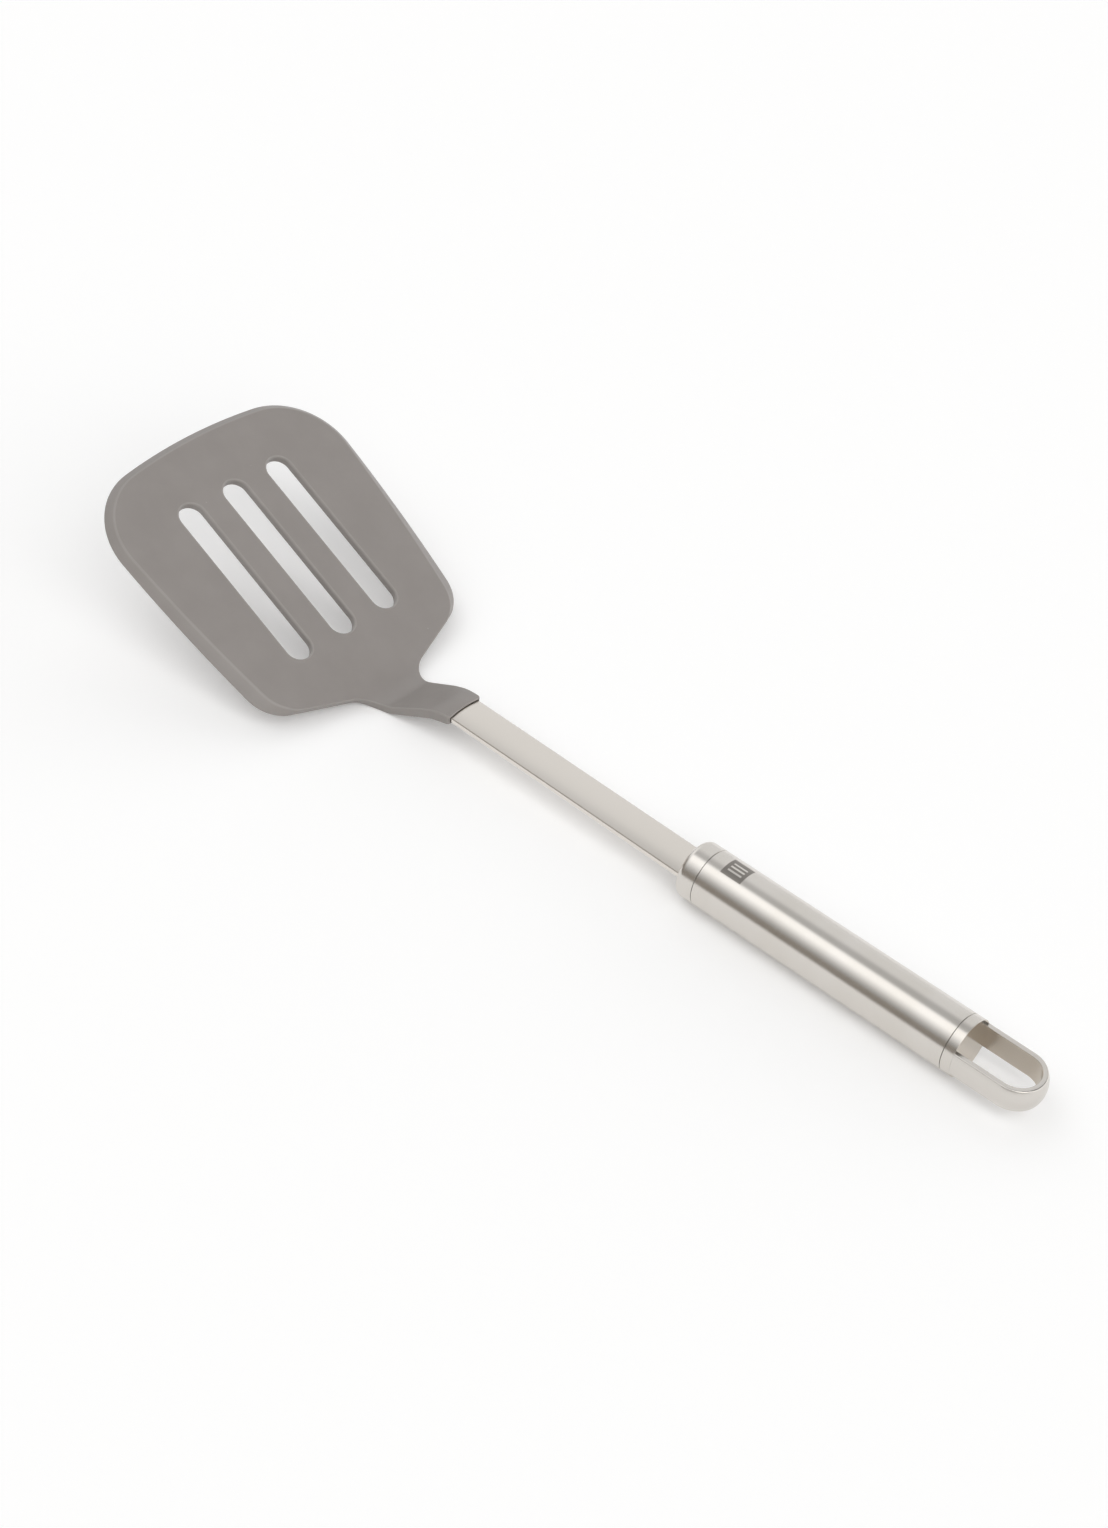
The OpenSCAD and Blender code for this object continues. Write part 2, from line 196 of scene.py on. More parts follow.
def grain_on(tree, place, stretch, smooth, dull):
    """The satin grain, with the noise stretched by the given cells per metre along x, y and z."""
    mapping = add(tree, "ShaderNodeMapping", Scale=stretch)
    feed(tree, mapping.inputs["Vector"], place)
    grain = add(tree, "ShaderNodeGroup", node_tree=satin_grain)
    feed(tree, grain.inputs["Vector"], mapping.outputs["Vector"])
    feed(tree, grain.inputs["Smooth"], smooth)
    feed(tree, grain.inputs["Dull"], dull)
    return grain.outputs


def raise_by(tree, height, shader, depth_mm):
    """Bump of a given depth on a shader."""
    bump = add(tree, "ShaderNodeBump", Strength=1.0, Distance=depth_mm * MM)
    feed(tree, bump.inputs["Height"], height)
    feed(tree, shader.inputs["Normal"], bump.outputs["Normal"])


# %% Steel finishes
# The mark and colour below paint shade on the steel: marked inner faces turn deeper and browner, as if dim
# reflections fell there.
PAINTED_SHADE_MARK = "painted_shade"
PAINTED_SHADE_STEEL = (0.585, 0.53, 0.46)
STEEL_BUMP = 0.001


def satin_steel(name, bright, deep, stretch, smooth, dull):
    """Stainless steel with a soft grain and slightly uneven colour, with painted shade on marked inner
    sides.
    """
    material, tree, shader, place = new_material(name)
    feed(tree, shader.inputs["Metallic"], 1)
    grain = grain_on(tree, place, stretch, smooth, dull)
    polished = blend_colours(tree, grain["Patches"], bright, deep)
    # Painted shade: faces marked as inner sides blend towards the deeper, browner steel.
    inner = add(tree, "ShaderNodeAttribute", attribute_name=PAINTED_SHADE_MARK)
    colour = blend_colours(tree, inner.outputs["Fac"], polished, PAINTED_SHADE_STEEL)
    feed(tree, shader.inputs["Base Color"], colour)
    feed(tree, shader.inputs["Roughness"], grain["Roughness"])
    raise_by(tree, grain["Height"], shader, STEEL_BUMP)
    return material


handle_finish = satin_steel("handle_satin", bright=(0.685, 0.655, 0.616), deep=(0.665, 0.634, 0.59),
                            stretch=(9000, 2500, 2500), smooth=0.17, dull=0.24)
shank_finish = satin_steel("shank_satin", bright=(0.755, 0.715, 0.668), deep=(0.735, 0.695, 0.643),
                           stretch=(900, 7000, 7000), smooth=0.22, dull=0.27)
loop_finish = satin_steel("loop_satin", bright=(0.685, 0.656, 0.62), deep=(0.665, 0.636, 0.595),
                          stretch=(2500, 2500, 9000), smooth=0.2, dull=0.28)
print("steel finishes:", handle_finish.name, shank_finish.name, loop_finish.name)

# %% [markdown]
# ## A laser mark
# A small square near the front of the tube is darkened by a laser, which grows a dark, slightly duller
# oxide on the steel. Plain bars of clean steel are left inside. A decal would need an image, so the mark
# is a mask instead, worked out from the place along the tube and the distance round it.

# %% Darken a square on the tube
MARK_X, MARK_HALF, MARK_SOFT = 59.65, 3.5, 0.12
BARS_HALF, BARS_PITCH, BARS_EDGE = 2.3, 1.5, (0.1, 0.4)
MARK_DARK, MARK_ROUGHNESS = (0.26, 0.242, 0.222), 0.32
tube_low, tube_high = box_mm("handle_tube")
TUBE_R = (tube_high.z - tube_low.z) / 2
AXIS_Z = (tube_high.z + tube_low.z) / 2


def calculate(tree, operation, first, second=0.0):
    """A maths node on two inputs, each a number or an output."""
    node = add(tree, "ShaderNodeMath", operation=operation)
    feed(tree, node.inputs[0], first)
    feed(tree, node.inputs[1], second)
    return node.outputs[0]


def mark_mask(tree, place):
    """One on the darkened square and nought on its bars and elsewhere."""
    spot = add(tree, "ShaderNodeSeparateXYZ")
    feed(tree, spot.inputs["Vector"], place)
    height = calculate(tree, "SUBTRACT", spot.outputs["Z"], AXIS_Z * MM)
    around = calculate(tree, "ARCTAN2", spot.outputs["Y"], height)
    round_mm = calculate(tree, "MULTIPLY", around, TUBE_R)
    past_mark = calculate(tree, "SUBTRACT", spot.outputs["X"], MARK_X * MM)
    along_mm = calculate(tree, "MULTIPLY", past_mark, 1 / MM)
    off_centre = calculate(tree, "MAXIMUM", calculate(tree, "ABSOLUTE", round_mm),
                           calculate(tree, "ABSOLUTE", along_mm))
    square = between(tree, off_centre, MARK_HALF, MARK_HALF + MARK_SOFT, 1, 0)
    inside = between(tree, off_centre, BARS_HALF, BARS_HALF + MARK_SOFT, 1, 0)
    wave = calculate(tree, "COSINE", calculate(tree, "MULTIPLY", round_mm, 2 * math.pi / BARS_PITCH))
    bars = calculate(tree, "MULTIPLY", inside, between(tree, wave, *BARS_EDGE, 0, 1))
    return calculate(tree, "SUBTRACT", square, bars)


def etch(material):
    """Darkens the marked square of a finish."""
    tree = material.node_tree
    shader = tree.nodes["Principled BSDF"]
    mask = mark_mask(tree, add(tree, "ShaderNodeTexCoord").outputs["Object"])
    clean = shader.inputs["Base Color"].links[0].from_socket
    feed(tree, shader.inputs["Base Color"], blend_colours(tree, mask, clean, MARK_DARK))
    dull = calculate(tree, "MULTIPLY", mask, MARK_ROUGHNESS)
    grain = shader.inputs["Roughness"].links[0].from_socket
    feed(tree, shader.inputs["Roughness"], calculate(tree, "MAXIMUM", grain, dull))


etch(handle_finish)
print("mark is", 2 * MARK_HALF, "mm square")

# %% [markdown]
# ## Turned work: tube and caps
# The handle is a drawn tube with a cap pressed into each end. All three are round, so each is a profile
# of a few points spun about the handle's axis, as on a lathe. A cylinder would do for the tube, but a
# spun profile also gives its bore, its wall and the spigots of the caps. The ring edges are then eased
# with a small bevel: where two pieces meet, the two eased edges and the gap between them read as the dark
# hairline of a seam.

# %% Helpers for turned work
ROUND_STEPS = 144
SAME_PLACE = 0.001


def turn(profile, closed=False):
    """Spins (x, radius) points about the handle's axis into a closed shell."""
    work = bmesh.new()
    chain = [work.verts.new((x, 0, AXIS_Z + r)) for x, r in profile]
    pairs = list(zip(chain, chain[1:])) + ([(chain[-1], chain[0])] if closed else [])
    edges = [work.edges.new(pair) for pair in pairs]
    bmesh.ops.spin(work, geom=chain + edges, cent=(0, 0, AXIS_Z), axis=(1, 0, 0), angle=2 * math.pi,
                   steps=ROUND_STEPS, use_merge=True)
    bmesh.ops.remove_doubles(work, verts=work.verts, dist=SAME_PLACE)
    bmesh.ops.recalc_face_normals(work, faces=work.faces)
    return work


def ring(work, x, radius):
    """The edges of one circle on turned work."""
    def on_it(v):
        off_axis = math.hypot(v.co.y, v.co.z - AXIS_Z)
        return abs(v.co.x - x) < SAME_PLACE and abs(off_axis - radius) < SAME_PLACE
    return [e for e in work.edges if all(on_it(v) for v in e.verts)]


def ease(work, edges, width, segments):
    """Rounds edges by a bevel and returns what the bevel made."""
    return bmesh.ops.bevel(work, geom=edges, offset=width, offset_type="OFFSET", segments=segments,
                           profile=0.5, affect="EDGES", clamp_overlap=True, material=-1)


# %% Make a mesh into a piece
FLAT_ANGLE = math.radians(34)


def finish_piece(work, name, node, material, flat_faces=True):
    """Turns work in millimetres into a piece that rides on the turner and stands for a CAD node."""
    bmesh.ops.scale(work, vec=(MM, MM, MM), verts=work.verts)
    mesh = bpy.data.meshes.new(name)
    work.to_mesh(mesh)
    work.free()
    mesh.shade_smooth()
    mesh.set_sharp_from_angle(angle=FLAT_ANGLE)
    mesh.materials.append(material)
    piece = bpy.data.objects.new(name, mesh)
    bpy.context.scene.collection.objects.link(piece)
    if flat_faces:
        piece.modifiers.new("flat faces stay flat", "WEIGHTED_NORMAL").keep_sharp = True
    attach(piece, "root")
    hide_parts(node)
    print(name, "has", len(mesh.polygons), "faces")


# %% Turn the tube
TUBE_WALL = 1
BORE_R = TUBE_R - TUBE_WALL
SEAM_EASE, SEAM_SEGMENTS = 0.1, 3
tube_start, tube_end = tube_low.x, tube_high.x
tube = turn([(tube_start, BORE_R), (tube_start, TUBE_R), (tube_end, TUBE_R), (tube_end, BORE_R)],
            closed=True)
for end_x in (tube_start, tube_end):
    ease(tube, ring(tube, end_x, TUBE_R), SEAM_EASE, SEAM_SEGMENTS)
finish_piece(tube, "handle_tube_visual", "handle_tube", handle_finish)

# %% Turn the caps
SPIGOT_FIT, SPIGOT_WALL, SEAM_GAP = 0.05, 1.2, 0.15
FRONT_WALL, FRONT_EDGE, FRONT_SEGMENTS = 4, 2, 10
REAR_WALL, REAR_EDGE, REAR_SEGMENTS = 3, 0.15, 5
SPIGOT_R = BORE_R - SPIGOT_FIT
HOLLOW_R = SPIGOT_R - SPIGOT_WALL


def cap(outer, seam, spigot_end, wall, edge, segments):
    """A cap from its outer face to the end of its spigot, closed by a wall at the outer face."""
    inner = outer + math.copysign(wall, seam - outer)
    work = turn([(outer, 0), (outer, TUBE_R), (seam, TUBE_R), (seam, SPIGOT_R), (spigot_end, SPIGOT_R),
                 (spigot_end, HOLLOW_R), (inner, HOLLOW_R), (inner, 0)])
    ease(work, ring(work, outer, TUBE_R), edge, segments)
    ease(work, ring(work, seam, TUBE_R), SEAM_EASE, SEAM_SEGMENTS)
    return work


front_low, front_high = box_mm("front_cap")
rear_low, rear_high = box_mm("rear_cap")
SEAM_X = tube_start - SEAM_GAP
END_X = rear_high.x
front_cap = cap(front_low.x, SEAM_X, front_high.x, FRONT_WALL, FRONT_EDGE, FRONT_SEGMENTS)
rear_cap = cap(END_X, tube_end + SEAM_GAP, rear_low.x, REAR_WALL, REAR_EDGE, REAR_SEGMENTS)
print("front face at", round(front_low.x, 2), "mm, rear face at", round(END_X, 2), "mm")

# %% [markdown]
# ## The flat bar
# The bar is a strip of steel with a flat underside and a gently crowned top. A bevelled cube would be
# quicker, but its top is flat, so the cross section starts as one vertex that is spun into the crown,
# then closed by chamfers, sides and a flat underside. Extruding that face gives the whole length. The
# chamfers matter for the look: they catch the dim part of the room and draw a fine dark line along the
# bar. The same strip, grown a little, cuts the slot in the front cap that the bar passes through. The
# thin tongue inside the silicone is a second, plainer strip, and a boolean joins the two, because they
# overlap like weld and parent metal.

# %% Sizes of the bar
SHANK_W, SHANK_SIDE, SHANK_CROWN = 12, 1.6, 0.7
SHANK_RISE = math.radians(1.06)
SHANK_ROOT = 14
CHAMFER_W, CHAMFER_H, LOW_CORNER = 0.2, 0.28, 0.1
CROWN_R = ((SHANK_W / 2) ** 2 + SHANK_CROWN ** 2) / (2 * SHANK_CROWN)
CROWN_Z = SHANK_SIDE / 2 + SHANK_CROWN - CROWN_R
print("bar is", SHANK_W, "mm wide, with a crown of", round(CROWN_R, 1), "mm radius")

# %% Draw out the bar
CROWN_STEPS, CORNER_SEGMENTS = 24, 5
VERT, EDGE, FACE = bmesh.types.BMVert, bmesh.types.BMEdge, bmesh.types.BMFace


def only(kind, made):
    """Those of the elements that an operator made that are of one kind."""
    return [element for element in made if isinstance(element, kind)]


def lean_like_bar(work):
    """Leans work that lies along x by the bar's rise about the handle's axis at the front seam."""
    lean = Matrix.Rotation(SHANK_RISE, 3, "Y")
    bmesh.ops.rotate(work, cent=(SEAM_X, 0, 0), matrix=lean, verts=work.verts)
    bmesh.ops.translate(work, vec=(0, 0, AXIS_Z), verts=work.verts)


def pull(work, face, reach):
    """Extrudes a face by a vector and returns the new end face."""
    made = bmesh.ops.extrude_face_region(work, geom=[face])["geom"]
    bmesh.ops.translate(work, vec=reach, verts=only(VERT, made))
    return only(FACE, made)[0]


def bar_strip(start, end, gap=0.0):
    """A length of the bar, grown by a gap, with chamfered upper edges and rounded lower ones."""
    work = bmesh.new()
    half, radius = SHANK_W / 2 + gap, CROWN_R + gap
    low = -SHANK_SIDE / 2 - gap
    edge = half - CHAMFER_W
    tilt = math.asin(edge / radius)
    first = work.verts.new((start, edge, CROWN_Z + radius * math.cos(tilt)))
    shoulder = first.co.z - CHAMFER_H
    bmesh.ops.spin(work, geom=[first], cent=(start, 0, CROWN_Z), axis=(1, 0, 0), angle=2 * tilt,
                   steps=CROWN_STEPS)
    crown = sorted(work.verts, key=lambda v: -v.co.y)
    sides = [work.verts.new((start, y, z)) for y, z in (
        (-half, shoulder), (-half, low), (half, low), (half, shoulder))]
    work.faces.new(crown + sides)
    bmesh.ops.bevel(work, geom=sides[1:3], offset=LOW_CORNER, segments=CORNER_SEGMENTS, profile=0.5,
                    affect="VERTICES", material=-1)
    pull(work, work.faces[:][0], (end - start, 0, 0))
    bmesh.ops.recalc_face_normals(work, faces=work.faces)
    lean_like_bar(work)
    return work


# %% Cut the bar's slot in the front cap
BAR_FIT, OVERCUT = 0.05, 5


def combine(work, tool, operation):
    """Boolean of two closed shells, which are used up."""
    shells = []
    for shell in (work, tool):
        bmesh.ops.recalc_face_normals(shell, faces=shell.faces)
        mesh = bpy.data.meshes.new("shell")
        shell.to_mesh(mesh)
        shell.free()
        shells.append(bpy.data.objects.new("shell", mesh))
        bpy.context.scene.collection.objects.link(shells[-1])
    change = shells[0].modifiers.new("combine", "BOOLEAN")
    change.operation = operation
    change.object = shells[1]
    change.solver = "EXACT"
    result = bmesh.new()
    result.from_object(shells[0], bpy.context.evaluated_depsgraph_get())
    for shell in shells:
        bpy.data.meshes.remove(shell.data)
    return result


slot_tool = bar_strip(front_low.x - OVERCUT, front_high.x + OVERCUT, BAR_FIT)
front_cap = combine(front_cap, slot_tool, "DIFFERENCE")
finish_piece(front_cap, "front_cap_visual", "front_cap", handle_finish)

# %% Finish the rear cap
INNER_FACING = 0.95


def mark_painted_shade(work, inward):
    """Marks for painted shade the faces that look the way given for their middle."""
    layer = work.faces.layers.float.new(PAINTED_SHADE_MARK)
    for face in work.faces:
        if face.normal.dot(inward(face.calc_center_median())) > INNER_FACING:
            face[layer] = 1


# The rear cap's end face, inside the loop, is marked for painted shade.
mark_painted_shade(rear_cap, lambda middle: Vector((1, 0, 0)))
finish_piece(rear_cap, "rear_cap_visual", "rear_cap", handle_finish)

# %% Make the bar and its tongue
COLLAR_COVER = 2
NECK_SLOPE = math.radians(28.4)
TONGUE_W, TONGUE_T, TONGUE_LEN, TONGUE_LIFT = 8, 1, 11.5, 0.7
TONGUE_LAP, TONGUE_STRAIGHT, TONGUE_BEND_R, TONGUE_STEPS = 1, 1.2, 5.7, 8
COLLAR_X = box_mm("silicone_blade")[1].x
BAR_END = COLLAR_X - COLLAR_COVER


def tongue_strip():
    """The thin strip that leaves the bar's end and bends down along the neck."""
    work = bmesh.new()
    side, high = TONGUE_W / 2, TONGUE_T / 2
    start, bend_x = BAR_END + TONGUE_LAP, BAR_END - TONGUE_STRAIGHT
    bend_turn = NECK_SLOPE + SHANK_RISE
    section = work.faces.new([work.verts.new((start, y, TONGUE_LIFT + z)) for y, z in (
        (-side, -high), (side, -high), (side, high), (-side, high))])
    section = pull(work, section, (bend_x - start, 0, 0))
    made = bmesh.ops.spin(work, geom=[section], cent=(bend_x, 0, TONGUE_LIFT - TONGUE_BEND_R),
                          axis=(0, 1, 0), angle=-bend_turn, steps=TONGUE_STEPS)
    section = only(FACE, made["geom_last"])[0]
    reach = TONGUE_LEN - TONGUE_BEND_R * math.tan(bend_turn / 2)
    pull(work, section, (-reach * math.cos(bend_turn), 0, -reach * math.sin(bend_turn)))
    bmesh.ops.remove_doubles(work, verts=work.verts, dist=SAME_PLACE)
    bmesh.ops.recalc_face_normals(work, faces=work.faces)
    lean_like_bar(work)
    return work


bar = combine(bar_strip(BAR_END, SEAM_X + SHANK_ROOT), tongue_strip(), "UNION")
finish_piece(bar, "shank_visual", "shank", shank_finish)

# %% [markdown]
# ## The hanging loop
# The loop is a strip bent on edge into a U and fixed to the rear cap. Its outer face is crowned like the
# tube, so the legs run flush into the cap. A curve with a bevel shape could draw it, but one section is
# all it needs: a spun crown closed by a flat inner side. Spun half a turn it makes the bow, and extruded
# from both ends of the bow it makes the legs.

# %% Section of the strip
loop_low, loop_high = box_mm("hanging_loop")
STRIP_T, STRIP_CROWN = 1.45, 0.85
STRIP_ROUND, STRIP_EDGE = 0.4, 0.2
STRIP_ROUND_STEPS, STRIP_CROWN_STEPS = 8, 12
STRIP_HALF = (loop_high.z - loop_low.z) / 2
BOW_X = loop_high.x - loop_high.y
OUTER_R = (STRIP_HALF ** 2 + STRIP_CROWN ** 2) / (2 * STRIP_CROWN)
print("strip is", round(2 * STRIP_HALF, 2), "mm high, with a crown of", round(OUTER_R, 1), "mm radius")


def draw_strip(work):
    """The section of the far leg, flat inside, crowned and rounded outside, as a loop of edges."""
    crown_y, round_z = loop_high.y - OUTER_R, STRIP_HALF - STRIP_ROUND
    lean = math.asin(round_z / (OUTER_R - STRIP_ROUND))
    round_y = crown_y + (OUTER_R - STRIP_ROUND) * math.cos(lean)
    quarter = math.pi / 2 - lean
    tip = work.verts.new((BOW_X, round_y, AXIS_Z - STRIP_HALF))
    for y, z, angle, steps in ((round_y, -round_z, quarter, STRIP_ROUND_STEPS),
                               (crown_y, 0, 2 * lean, STRIP_CROWN_STEPS),
                               (round_y, round_z, quarter, STRIP_ROUND_STEPS)):
        arc = bmesh.ops.spin(work, geom=[tip], cent=(BOW_X, y, AXIS_Z + z), axis=(1, 0, 0), angle=angle,
                             steps=steps)
        tip = only(VERT, arc["geom_last"])[0]
    outer = sorted(work.verts, key=lambda v: v.co.z)
    inner_y = loop_high.y - STRIP_CROWN - STRIP_T
    inner = [work.verts.new((BOW_X, inner_y, AXIS_Z + z)) for z in (STRIP_HALF, -STRIP_HALF)]
    work.faces.new(outer + inner)
    bmesh.ops.bevel(work, geom=inner, offset=STRIP_EDGE, segments=CORNER_SEGMENTS, profile=0.5,
                    affect="VERTICES", material=-1)
    bmesh.ops.delete(work, geom=work.faces[:], context="FACES_ONLY")
    return work.edges[:]


# %% Bend the loop
BOW_STEPS = 64


def to_middle(place):
    """The way from a place on the loop straight to the middle of its opening."""
    return Vector((min(BOW_X - place.x, 0), -place.y, 0)).normalized()


def hanging_loop():
    """Bow and legs of the loop, as one closed shell."""
    work = bmesh.new()
    far_leg = draw_strip(work)
    made = bmesh.ops.spin(work, geom=work.verts[:] + far_leg, cent=(BOW_X, 0, 0), axis=(0, 0, 1),
                          angle=-math.pi, steps=BOW_STEPS)
    near_leg = only(EDGE, made["geom_last"])
    for open_loop in (far_leg, near_leg):
        leg = bmesh.ops.extrude_edge_only(work, edges=open_loop)["geom"]
        root = only(VERT, leg)
        bmesh.ops.translate(work, vec=(END_X - BOW_X, 0, 0), verts=root)
        end = [e for e in only(EDGE, leg) if all(v in root for v in e.verts)]
        bmesh.ops.edgeloop_fill(work, edges=end)
    bmesh.ops.recalc_face_normals(work, faces=work.faces)
    # The inner faces of the bow and the legs are marked for painted shade.
    mark_painted_shade(work, to_middle)
    return work


finish_piece(hanging_loop(), "hanging_loop_visual", "hanging_loop", loop_finish)

# %% [markdown]
# ## Grey silicone
# Moulded silicone is matte, with a dusty bloom and a faint mottle, and it picks up lint as pale specks.
# Its creases are painted a little paler than the flats, as a painted highlight where the rounded edges
# catch the light. The crease is marked by an attribute on the mesh, and the rest is noise at three sizes,
# which never repeats as a picture would.

# %% Silicone finish
EDGE_MARK = "crease"
SILICONE_DEEP, SILICONE_PALE = (0.27, 0.249, 0.235), (0.286, 0.264, 0.25)
LINT_COLOUR, LINT_CORE, LINT_EDGE, LINT_SHOWS = (0.62, 0.6, 0.58), 0.012, 0.03, 0.25
# The crease colour is a painted highlight, paler than the body, laid along the marked edges.
CREASE_HIGHLIGHT_COLOUR, CREASE_FROM, CREASE_HIGHLIGHT_SHOWS = (0.42, 0.4, 0.38), 0.85, 0.25
SILICONE_ROUGH, SILICONE_BUMP = (0.4, 0.5), 0.01


def silicone(name):
    """Matte grey silicone with mottle, specks and a painted highlight on its creases."""
    material, tree, shader, place = new_material(name)
    mottle = add(tree, "ShaderNodeTexNoise", Scale=90.0, Detail=3.0, Roughness=0.55)
    grain = add(tree, "ShaderNodeTexNoise", Scale=3500.0, Detail=2.0, Roughness=0.6)
    lint = add(tree, "ShaderNodeTexVoronoi", Scale=110.0, Randomness=1.0)
    for texture in (mottle, grain, lint):
        feed(tree, texture.inputs["Vector"], place)
    cloud = between(tree, mottle.outputs["Fac"], *BROAD_SPAN, 0, 1)
    body = blend_colours(tree, cloud, SILICONE_DEEP, SILICONE_PALE)
    speck = between(tree, lint.outputs["Distance"], LINT_CORE, LINT_EDGE, LINT_SHOWS, 0, smooth=True)
    body = blend_colours(tree, speck, body, LINT_COLOUR)
    # Painted highlight: the marked creases blend towards a paler colour.
    crease = add(tree, "ShaderNodeAttribute", attribute_name=EDGE_MARK)
    painted_highlight = between(tree, crease.outputs["Fac"], CREASE_FROM, 1, 0, CREASE_HIGHLIGHT_SHOWS)
    body = blend_colours(tree, painted_highlight, body, CREASE_HIGHLIGHT_COLOUR)
    feed(tree, shader.inputs["Base Color"], body)
    bloom = between(tree, grain.outputs["Fac"], *FINE_SPAN, *SILICONE_ROUGH)
    feed(tree, shader.inputs["Roughness"], bloom)
    feed(tree, shader.inputs["Specular IOR Level"], 0.5)
    raise_by(tree, grain.outputs["Fac"], shader, SILICONE_BUMP)
    return material


silicone_finish = silicone("silicone_grey")
print("finish", silicone_finish.name)

# %% [markdown]
# ## Outline of the blade
# The blade is moulded flat and thin, so it is drawn flat first and bent at the neck later, with u along
# the blade from its heel and v across it. Its outline is like a belt round pulleys: arcs joined by
# straight runs that touch both. Drawing it as pulleys keeps every join smooth, and the same pulleys with
# smaller circles give the inner outlines that the rounded edges need.

# %% Sizes of the blade
BLADE_LEN, BLADE_W, BLADE_T = 104.8, 94.2, 2.8
CORNER_R, FRONT_R, SIDE_R, SHOULDER_R = 24.1, 194, 570, 13.2
SHOULDER_U, SHOULDER_V = 25.2, 29.7
SHOULDER_ANGLE = math.radians(19)
BEVEL_W, BEVEL_REAR_W, BEVEL_H = 2.4, 4, 2.4
NECK_LEN, NECK_W, COLLAR_W = 25.8, 17.6, 14
FILLET_R, COLLAR_CORNER_R = 9.6, 1.2
CORNER_V = BLADE_W / 2 - CORNER_R
CORNER_U = BLADE_LEN - FRONT_R + math.sqrt((FRONT_R - CORNER_R) ** 2 - CORNER_V ** 2)
print("front corners turn about", round(CORNER_U, 2), "mm from the heel,", CORNER_V, "mm off the middle")

# %% Pulleys of the half outline
def crossing(p, p_normal, q, q_normal):
    """Where two lines meet, each given by a point and its normal."""
    a, b = p_normal.dot(p), q_normal.dot(q)
    det = p_normal.x * q_normal.y - p_normal.y * q_normal.x
    return Vector(((a * q_normal.y - b * p_normal.y) / det, (b * p_normal.x - a * q_normal.x) / det))


def side_centre(corner, corner_gap, shoulder, shoulder_gap):
    """Centre of the bowed side, at set distances from the corner's and the shoulder's centres."""
    ahead = corner - shoulder
    span = ahead.length
    ahead /= span
    forward = (span ** 2 + shoulder_gap ** 2 - corner_gap ** 2) / (2 * span)
    inward = math.sqrt(shoulder_gap ** 2 - forward ** 2)
    return shoulder + ahead * forward + Vector((ahead.y, -ahead.x)) * inward


def pulleys(neck_start, bevelled=0.0, inset=0.0):
    """Circles (u, v, radius) from the front edge to the collar; a hollow bend has a negative radius."""
    rim = BEVEL_W * bevelled + inset
    shift = BEVEL_REAR_W / math.cos(SHOULDER_ANGLE) * bevelled
    shoulder = Vector((SHOULDER_U - shift * math.sin(SHOULDER_ANGLE),
                       SHOULDER_V - shift * math.cos(SHOULDER_ANGLE)))
    side = side_centre(Vector((CORNER_U, CORNER_V)), SIDE_R - CORNER_R, shoulder,
                       SIDE_R - rim - SHOULDER_R + inset)
    rear_normal = Vector((-math.cos(SHOULDER_ANGLE), math.sin(SHOULDER_ANGLE)))
    collar = Vector((neck_start, COLLAR_W / 2))
    neck = Vector((0, NECK_W / 2))
    neck_normal = Vector((collar.y - neck.y, neck.x - collar.x)).normalized()
    fillet = crossing(shoulder + rear_normal * (SHOULDER_R + FILLET_R), rear_normal,
                      neck + neck_normal * FILLET_R, neck_normal)
    return [(BLADE_LEN - FRONT_R, 0, FRONT_R - rim), (CORNER_U, CORNER_V, CORNER_R - rim),
            (*side, SIDE_R - rim), (*shoulder, SHOULDER_R - inset), (*fillet, -FILLET_R - inset),
            (neck_start + COLLAR_CORNER_R, COLLAR_W / 2 - COLLAR_CORNER_R, COLLAR_CORNER_R - inset)]


# %% Trace an outline
ARC_STEPS = (20, 40, 24, 24, 24, 8)
SAME_POINT = 0.005


def facings(circles):
    """The angles at which a belt leaves each circle for the next, from straight ahead to straight back."""
    turns = [0.0]
    for (u1, v1, r1), (u2, v2, r2) in zip(circles, circles[1:]):
        span = math.hypot(u2 - u1, v2 - v1)
        facing = math.atan2(v2 - v1, u2 - u1) - math.acos(max(-1.0, min(1.0, (r1 - r2) / span)))
        turns.append(facing + 2 * math.pi * round((turns[-1] - facing) / (2 * math.pi)))
    return turns + [math.pi]


def trace(work, circles, depth):
    """Draws half a belt round the circles at a depth, mirrors it and returns the closed loop."""
    before = set(work.edges)
    turns = facings(circles)
    end = None
    for (u, v, r), enter, leave, steps in zip(circles, turns, turns[1:], ARC_STEPS):
        start = work.verts.new((u + r * math.cos(enter), v + r * math.sin(enter), depth))
        if end is not None:
            work.edges.new((end, start))
        arc = bmesh.ops.spin(work, geom=[start], cent=(u, v, depth), axis=(0, 0, 1), angle=leave - enter,
                             steps=steps)
        end = only(VERT, arc["geom_last"])[0]
    work.edges.new((end, work.verts.new((end.co.x, 0, depth))))
    half = [e for e in work.edges if e not in before]
    half += list({v for e in half for v in e.verts})
    bmesh.ops.mirror(work, geom=half, axis="Y", merge_dist=SAME_PLACE)
    drawn = {v for e in work.edges if e not in before for v in e.verts}
    bmesh.ops.remove_doubles(work, verts=list(drawn), dist=SAME_POINT)
    return [e for e in work.edges if e not in before]


# %% Trace a slot
SLOT_W, SLOT_PITCH, SLOT_START, SLOT_FRONT = 8.8, 18.2, 24.8, 19.8
SLOT_ROWS, SLOT_STEPS = (-1, 0, 1), 24
SLOT_END = BLADE_LEN - SLOT_FRONT


